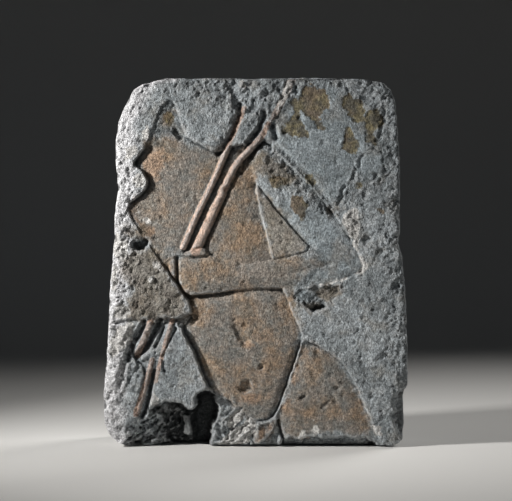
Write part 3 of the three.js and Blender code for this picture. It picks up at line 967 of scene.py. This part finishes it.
def weather_sides(place, outwards):
    """How far each point of the plain sides and back is worn or tooled in"""
    back = np.clip(outwards[:, 1], 0, 1)
    side = np.clip(1 - np.abs(outwards[:, 1]), 0, 1)
    along = np.where(np.abs(outwards[:, 2]) > 0.7, place[:, 0], place[:, 2])
    slanted = along * STROKE_SLOPE[0] + place[:, 1] * STROKE_SLOPE[1] + 3 * cloud(place, 24, 301)
    flat = np.clip(5 * np.abs(outwards).max(1) - 4, 0, 1)
    strokes = np.sin(slanted * 2 * math.pi / STROKE_PITCH)
    strokes = strokes * np.clip(0.5 + cloud(place, 17, 302), 0, 1) * flat
    cuts = place[:, 2] + SAW_SLOPE * place[:, 0] + 2 * cloud(place, 60, 303)
    sawn = np.sin(cuts * 2 * math.pi / SAW_PITCH)
    uneven = clouds(place, SIDE_LUMPS)
    on_side = SIDE_WEAR + STROKE_DEPTH * strokes + SIDE_LUMP_DEPTH * uneven
    on_back = BACK_WEAR + SAW_DEPTH * sawn + BACK_LUMP_DEPTH * uneven
    return side * on_side + back * on_back


def vertex_values(mesh, name):
    """The place or the normal of each vertex of a mesh"""
    values = np.zeros(len(mesh.vertices) * 3)
    mesh.vertices.foreach_get(name, values)
    return values.reshape(-1, 3)


def fine_block(sizes, edge, depth):
    """The carved stone as an even, dense mesh"""
    pitch = sizes.grid_pitch / MM
    cells = [round(2 * HIGH.x / pitch), sizes.depth_cells, round(HEIGHT / pitch)]
    bm = sliced_cube(cells)
    mesh = bpy.data.meshes.new("carved_block")
    bm.to_mesh(mesh)
    bm.free()

    corners = vertex_values(mesh, "co")
    spread = np.sin(corners[:, 1] * math.pi) / 2  # closer cells towards the front and the back
    height = (corners[:, 2] + 0.5) * HEIGHT
    left, right = edge(height)
    half_width = (right - left) / 2
    centre = (right + left) / 2
    box = np.column_stack([corners[:, 0] * 2 * half_width, spread * THICKNESS, height])
    wear = np.clip(clouds(box, ARRIS_WEAR, 1), *ARRIS_WEAR_RANGE)
    place, outwards = round_arrises(box, half_width, sizes.arris / MM * wear)
    place[:, 0] += centre
    place -= outwards * weather_sides(place, outwards)[:, None]
    cut = sampled(depth, place[:, 0], place[:, 2])
    place[:, 1] += cut * (THICKNESS / 2 - place[:, 1]) / THICKNESS
    mesh.vertices.foreach_set("co", (place * MM).ravel())
    mesh.update()
    return mesh


def thin_down(stone, limit):
    """Thins the mesh of an object to a number of triangles"""
    dense = stone.data
    thin = stone.modifiers.new("thin", "DECIMATE")
    thin.ratio = limit / (2 * len(dense.polygons))
    thin.use_collapse_triangulate = True
    settled = bpy.data.meshes.new_from_object(stone.evaluated_get(bpy.context.evaluated_depsgraph_get()))
    stone.modifiers.clear()
    stone.data = settled
    bpy.data.meshes.remove(dense)


def lay_finishes(mesh, edge, depth):
    """Writes each finish, with the painted shade and highlights among them, onto a mesh as an attribute of
    its points
    """
    corners = vertex_values(mesh, "co") / MM
    towards_front = np.clip(0.35 - vertex_values(mesh, "normal")[:, 1] * 1.6, 0, 1)
    behind = corners[:, 1] - FRONT
    near_face = np.clip(1.1 - behind / SIDE_FADE, 0, 1)
    on_carving = np.clip(1.5 - (behind - sampled(depth, corners[:, 0], corners[:, 2])) / CARVING_FADE, 0, 1)
    for name, chart in finishes(depth, edge).items():
        attribute = mesh.attributes.new(name, "FLOAT", "POINT")
        values = sampled(chart, corners[:, 0], corners[:, 2])
        rest = 0.5 if name == "hollow" else 0.0
        share = near_face if name in WIDE_FINISHES else on_carving
        if name not in WIDE_FINISHES + OPEN_FINISHES:
            share = share * towards_front
        attribute.data.foreach_set("value", blend(rest, values, share).astype(np.float32))
    mesh.polygons.foreach_set("use_smooth", np.ones(len(mesh.polygons), bool))
    mesh.update()


def carved_stone(sizes):
    """The whole stone, carved, cut down to its triangle limit and with its finishes"""
    edge = Edge(NODE)
    depth = relief(edge)
    stone = bpy.data.objects.new("carved_block", fine_block(sizes, edge, depth))
    bpy.context.scene.collection.objects.link(stone)
    thin_down(stone, sizes.triangle_limit)
    lay_finishes(stone.data, edge, depth)
    return stone


# The materials


class Graph:
    """The nodes of a material, with a short call for each kind that the stone needs"""

    def __init__(self, name):
        self.material = bpy.data.materials.new(name)
        self.material.use_nodes = True
        self.nodes = self.material.node_tree.nodes
        self.links = self.material.node_tree.links
        self.shader = self.nodes["Principled BSDF"]
        self.place = self.nodes.new("ShaderNodeTexCoord").outputs["Object"]

    def put(self, value, socket):
        if isinstance(value, bpy.types.NodeSocket):
            self.links.new(value, socket)
        else:
            socket.default_value = value

    def attribute(self, name):
        node = self.nodes.new("ShaderNodeAttribute")
        node.attribute_name = name
        return node.outputs["Fac"]

    def noise(self, size, detail, roughness, offset, stretch=(1, 1, 1), turn=0.0, distortion=0.0):
        """Noise with lumps of a size in metres"""
        shift = self.nodes.new("ShaderNodeMapping")
        shift.inputs["Location"].default_value = (offset, offset * 0.7, offset * 1.3)
        shift.inputs["Rotation"].default_value = (0, turn, 0)
        shift.inputs["Scale"].default_value = stretch
        self.links.new(self.place, shift.inputs["Vector"])
        node = self.nodes.new("ShaderNodeTexNoise")
        node.inputs["Scale"].default_value = 1 / size
        node.inputs["Detail"].default_value = detail
        node.inputs["Roughness"].default_value = roughness
        node.inputs["Distortion"].default_value = distortion
        self.links.new(shift.outputs["Vector"], node.inputs["Vector"])
        return node.outputs["Fac"]

    def math(self, operation, first, second=0.0):
        node = self.nodes.new("ShaderNodeMath")
        node.operation = operation
        self.put(first, node.inputs[0])
        self.put(second, node.inputs[1])
        return node.outputs["Value"]

    def between(self, value, low, high, start=0.0, end=1.0):
        """The value carried smoothly from one range onto another"""
        node = self.nodes.new("ShaderNodeMapRange")
        node.interpolation_type = "SMOOTHSTEP"
        self.put(value, node.inputs["Value"])
        for name, number in zip(("From Min", "From Max", "To Min", "To Max"), (low, high, start, end)):
            node.inputs[name].default_value = number
        return node.outputs["Result"]

    def mix(self, share, first, second, kind="MIX"):
        node = self.nodes.new("ShaderNodeMix")
        node.data_type = "RGBA"
        node.blend_type = kind
        self.put(share, node.inputs["Factor"])
        below, above = (socket for socket in node.inputs if socket.type == "RGBA")
        self.put(first, below)
        self.put(second, above)
        return next(socket for socket in node.outputs if socket.type == "RGBA")

    def cover(self, name, worn=1.0):
        """How much of the stone a finish hides, with its edge broken up by noise"""
        hides, ragged, size, offset, soft = COVERS[name]
        edge = self.math("SUBTRACT", self.noise(size, 4.0, 0.65, offset), 0.5)
        value = self.math("ADD", self.attribute(name), self.math("MULTIPLY", edge, ragged))
        shown = self.between(value, 0.5 - soft, 0.5 + soft)
        return self.math("MULTIPLY", self.math("MULTIPLY", shown, worn), hides)


def limestone(colours):
    """Weathered limestone with thin paint, plaster, painted shade with some dirt in its hollows and breaks,
    pale worn edges and painted highlights on lit walls
    """
    g = Graph("weathered_limestone")
    rgba = {name: (*getattr(colours, name), 1) for name in colours.__annotations__}
    broad = g.noise(*BROAD)
    middling = g.noise(*MIDDLING)
    small = g.noise(*SMALL)
    grain = g.noise(*GRAIN)
    colour = g.mix(g.between(broad, *STONE_SHADES), rgba["stone_dark"], rgba["stone"])
    colour = g.mix(g.between(middling, *PALE_SPOTS), colour, rgba["stone_pale"])
    colour = g.mix(g.between(g.noise(*STAINS), *UMBER_STAINS), colour, rgba["umber"])
    # The pale left margin, partly worn stone and partly painted light from the left
    colour = g.mix(g.between(g.attribute("margin"), *PALE_AND_LIT_MARGIN), colour, rgba["margin"])

    worn = g.between(small, *WORN_THROUGH)
    ochre = g.mix(g.between(middling, *PAINT_SHADES), rgba["ochre_deep"], rgba["ochre"])
    ochre = g.mix(g.between(broad, *PAINT_GREYED), ochre, rgba["plaster_dark"])
    ochre = g.mix(g.cover("orange"), ochre, rgba["orange"])
    colour = g.mix(g.cover("paint", worn), colour, ochre)
    umber = g.mix(g.between(middling, *PAINT_SHADES), rgba["umber"], rgba["ochre_deep"])
    colour = g.mix(g.cover("flare", worn), colour, umber)

    plaster = g.mix(g.between(g.noise(*STREAKS), *PLASTER_SHADES), rgba["plaster_dark"], rgba["plaster"])
    plaster_stains = g.between(g.noise(*PLASTER_STAINS), *PLASTER_BROWNED)
    plaster = g.mix(plaster_stains, plaster, rgba["ochre_deep"])
    colour = g.mix(g.cover("plaster"), colour, plaster)

    olive = g.mix(g.between(middling, *OLIVE_SHADES), rgba["olive_dark"], rgba["olive"])
    olive = g.mix(g.between(broad, *OLIVE_OCHRE), olive, rgba["ochre"])
    colour = g.mix(g.cover("olive"), colour, olive)
    colour = g.mix(g.cover("rods", worn), colour, rgba["rod_tan"])
    # Bruised stone, and painted highlights along lit walls
    colour = g.mix(g.cover("bruise_and_highlight"), colour, rgba["bruise_and_highlight"])
    # Painted shade inside the breaks
    colour = g.mix(g.math("MULTIPLY", g.attribute("break_shade"), BREAK_SHADE_SHARE), colour, rgba["fresh_break"])
    # Painted shade in the deep breaks
    colour = g.mix(g.math("MULTIPLY", g.attribute("deep"), DEEP_SHADE_SHARE), colour, rgba["dirt"])

    colour = g.mix(1.0, colour, g.between(grain, *GRAIN_BRIGHTNESS), "MULTIPLY")
    colour = g.mix(1.0, colour, g.between(small, *SPECK_BRIGHTNESS), "MULTIPLY")
    hollow = g.attribute("hollow")
    # Painted shade: the hollows of the carving darken towards near black, partly dirt and partly shade
    colour = g.mix(g.between(hollow, *SHADE_AND_DIRT_IN_HOLLOWS), colour, rgba["dirt"])
    colour = g.mix(g.between(hollow, *RUBBED_RIDGES), colour, rgba["stone_pale"])
    g.put(colour, g.shader.inputs["Base Color"])

    g.put(g.between(grain, *GRAIN_ROUGHNESS), g.shader.inputs["Roughness"])
    g.shader.inputs["Specular IOR Level"].default_value = SPECULAR_LEVEL

    coarse = g.math("MULTIPLY", g.noise(*COARSE_CRUMB), COARSE_SHARE)
    crumb = g.math("ADD", g.noise(*FINE_CRUMB), coarse)
    bump = g.nodes.new("ShaderNodeBump")
    bump.inputs["Strength"].default_value = 1.0
    bump.inputs["Distance"].default_value = BUMP_DEPTH
    harsh = g.between(g.attribute("harsh"), *BUMP_BY_HARSHNESS)
    g.put(g.math("MULTIPLY", crumb, harsh), bump.inputs["Height"])
    g.put(bump.outputs["Normal"], g.shader.inputs["Normal"])
    return g.material


def plain(name, colour, roughness):
    """One even finish, for the studio around the stone"""
    material = bpy.data.materials.new(name)
    material.use_nodes = True
    shader = material.node_tree.nodes["Principled BSDF"]
    shader.inputs["Base Color"].default_value = (*colour, 1)
    shader.inputs["Roughness"].default_value = roughness
    return material


# What a user can change


def colour_property(name, description, default):
    return bpy.props.FloatVectorProperty(
        name=name, description=description, subtype="COLOR", size=3, min=0, max=1, default=default
    )


class StoneSizes(bpy.types.PropertyGroup):
    grid_pitch: bpy.props.FloatProperty(
        name="Grid pitch", description="Width of a cell of the mesh before it is thinned",
        default=0.00052, min=0.0003, max=0.01, unit="LENGTH",
    )
    depth_cells: bpy.props.IntProperty(
        name="Cells through", description="Cells through the thickness of the stone",
        default=44, min=8, max=120,
    )
    triangle_limit: bpy.props.IntProperty(
        name="Triangles", description="Triangles that are left when the mesh is thinned",
        default=194000, min=20000, max=199000,
    )
    arris: bpy.props.FloatProperty(
        name="Arris", description="How far the edges of the block are worn round",
        default=0.0032, min=0.0005, max=0.01, unit="LENGTH",
    )


class StoneColours(bpy.types.PropertyGroup):
    stone: colour_property("Stone", "The stone where it is bare", (0.48, 0.52, 0.545))
    stone_dark: colour_property("Dark stone", "The stone where it is stained", (0.30, 0.33, 0.345))
    stone_pale: colour_property("Pale stone", "The stone where it is rubbed", (0.62, 0.635, 0.64))
    # Pale colour of the left margin, partly worn stone and partly painted light from the left
    margin: colour_property("Margin", "The pale stone of the left margin", (0.92, 0.91, 0.93))
    ochre: colour_property("Ochre", "The remains of brown paint", (0.325, 0.213, 0.125))
    ochre_deep: colour_property("Deep ochre", "The paint where it is greyer", (0.23, 0.179, 0.126))
    orange: colour_property("Orange", "The paint where it is freshest", (0.44, 0.25, 0.13))
    umber: colour_property("Umber", "The dark brown of the flared form", (0.27, 0.225, 0.165))
    plaster: colour_property("Plaster", "The smooth blue-grey plaster", (0.32, 0.37, 0.40))
    plaster_dark: colour_property("Dark plaster", "The plaster where it is stained", (0.205, 0.24, 0.255))
    olive: colour_property("Olive", "The olive-brown patches", (0.24, 0.195, 0.095))
    olive_dark: colour_property("Dark olive", "The patches where they are darkest", (0.12, 0.102, 0.068))
    rod_tan: colour_property("Rod", "The pinkish tan of the rods and the cords", (0.52, 0.36, 0.28))
    # Pale colour for bruised stone and for the painted highlights along lit walls
    bruise_and_highlight: colour_property("Bruise", "Freshly bruised stone", (0.74, 0.72, 0.69))
    # Dark painted shade for the inside of the breaks
    fresh_break: colour_property("Break", "The stone inside the breaks", (0.15, 0.156, 0.154))
    # Near-black painted shade for the hollows and the deep breaks, with some dirt
    dirt: colour_property("Dirt", "Dirt in the hollows", (0.022, 0.024, 0.026))


class StudioSettings(bpy.types.PropertyGroup):
    focal_length: bpy.props.FloatProperty(
        name="Focal length", description="Lens of the camera, in millimetres", default=100, min=20, max=300,
    )
    sensor: bpy.props.FloatProperty(
        name="Sensor", description="Width of the camera's sensor, in millimetres", default=36, min=8, max=60,
    )
    key_power: bpy.props.FloatProperty(
        name="Key", description="Power of the raking key light", default=0.73, min=0, max=500, unit="POWER",
    )
    fill_power: bpy.props.FloatProperty(
        name="Fill", description="Power of the soft fill light", default=0.06, min=0, max=500, unit="POWER",
    )
    back_power: bpy.props.FloatProperty(
        name="Back", description="Power of the soft light behind", default=1.0, min=0, max=500, unit="POWER",
    )
    sweep: colour_property("Sweep", "The pale floor and backdrop", (0.72, 0.71, 0.69))
    sky: colour_property("Sky", "The dim light from all round", (0.9, 0.95, 1.0))
    sky_strength: bpy.props.FloatProperty(
        name="Sky strength", description="Strength of the light from all round", default=0.022, min=0, max=5,
    )


class CARVED_OT_stone(bpy.types.Operator):
    """Make the carved and weathered block in place of its solid"""

    bl_idname = "carved.stone"
    bl_label = "Carved stone"

    def execute(self, context):
        stone = carved_stone(context.scene.stone_sizes)
        stone.data.materials.clear()
        stone.data.materials.append(limestone(context.scene.stone_colours))
        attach(stone, BODY)
        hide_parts(NODE)
        return {"FINISHED"}


def sweep_mesh(width, front, back, radius, top):
    """A floor that curves up into a backdrop, from a grid bent over a quarter round"""
    bm = bmesh.new()
    bmesh.ops.create_grid(bm, x_segments=2, y_segments=96, size=0.5)
    straight = back - front
    turn = math.pi / 2 * radius
    length = straight + turn + top
    for vertex in bm.verts:
        run = (vertex.co.y + 0.5) * length
        angle = min(max((run - straight) / radius, 0), math.pi / 2)
        vertex.co.x *= width
        vertex.co.y = front + min(run, straight) + radius * math.sin(angle)
        vertex.co.z = radius * (1 - math.cos(angle)) + max(run - straight - turn, 0)
    mesh = bpy.data.meshes.new("studio_sweep")
    bm.to_mesh(mesh)
    bm.free()
    mesh.polygons.foreach_set("use_smooth", np.ones(len(mesh.polygons), bool))
    return mesh


def area_light(name, lamp_values, aim, power):
    """A square lamp aimed at a point, whose beam is as wide as its spread"""
    place, size, colour, spread = lamp_values
    data = bpy.data.lights.new(name, "AREA")
    data.size = size
    data.spread = math.radians(spread)
    data.energy = power
    data.color = colour
    lamp = bpy.data.objects.new(name, data)
    lamp.location = place
    lamp.rotation_euler = (aim - lamp.location).to_track_quat("-Z", "Y").to_euler()
    bpy.context.scene.collection.objects.link(lamp)


class CARVED_OT_studio(bpy.types.Operator):
    """Set the plain studio: a pale sweep, a raking key light, a soft fill and the camera"""

    bl_idname = "carved.studio"
    bl_label = "Studio"

    def execute(self, context):
        studio = context.scene.studio
        low, high = (corner.copy() for corner in solid_bounds)
        sweep = bpy.data.objects.new("studio_sweep", sweep_mesh(**SWEEP))
        sweep.data.materials.append(plain("studio_paper", studio.sweep, 0.9))
        context.scene.collection.objects.link(sweep)

        middle = (low + high) / 2
        aim = middle.copy()
        aim.y = low.y
        area_light("key", KEY, aim, studio.key_power)
        area_light("fill", FILL, aim, studio.fill_power)
        area_light("back", BACK, middle, studio.back_power)

        world = context.scene.world or bpy.data.worlds.new("studio")
        context.scene.world = world
        world.use_nodes = True
        background = world.node_tree.nodes["Background"]
        background.inputs["Color"].default_value = (*studio.sky, 1)
        background.inputs["Strength"].default_value = studio.sky_strength

        pixel = PIXEL * MM
        frame_width = PICTURE_WIDTH * pixel
        distance = frame_width * studio.focal_length / studio.sensor
        context.scene.view_settings.view_transform = "Standard"
        camera = bpy.data.objects.new("camera", bpy.data.cameras.new("camera"))
        camera.data.lens = studio.focal_length
        camera.data.sensor_width = studio.sensor
        camera.location = (0, low.y - distance, (FOOT_ROW - PICTURE_HEIGHT / 2) * pixel)
        camera.rotation_euler = (math.pi / 2, 0, 0)
        context.scene.collection.objects.link(camera)
        context.scene.camera = camera
        return {"FINISHED"}


class CARVED_PT_panel(bpy.types.Panel):
    """Lists what makes the carved block"""

    bl_idname = "CARVED_PT_panel"
    bl_label = "Carved Block"
    bl_space_type = "VIEW_3D"
    bl_region_type = "UI"
    bl_category = "Carved Block"

    def draw(self, context):
        for settings in ("stone_sizes", "stone_colours", "studio"):
            group = getattr(context.scene, settings)
            box = self.layout.box()
            for name in group.__annotations__:
                box.prop(group, name)
        for operator in (CARVED_OT_stone, CARVED_OT_studio):
            self.layout.operator(operator.bl_idname)


CLASSES = (StoneSizes, StoneColours, StudioSettings, CARVED_OT_stone, CARVED_OT_studio, CARVED_PT_panel)


def register():
    for cls in CLASSES:
        bpy.utils.register_class(cls)
    bpy.types.Scene.stone_sizes = bpy.props.PointerProperty(type=StoneSizes)
    bpy.types.Scene.stone_colours = bpy.props.PointerProperty(type=StoneColours)
    bpy.types.Scene.studio = bpy.props.PointerProperty(type=StudioSettings)


def unregister():
    del bpy.types.Scene.studio
    del bpy.types.Scene.stone_colours
    del bpy.types.Scene.stone_sizes
    for cls in reversed(CLASSES):
        bpy.utils.unregister_class(cls)


def main():
    register()
    bpy.ops.carved.stone()
    bpy.ops.carved.studio()


if __name__ == "__main__":
    main()
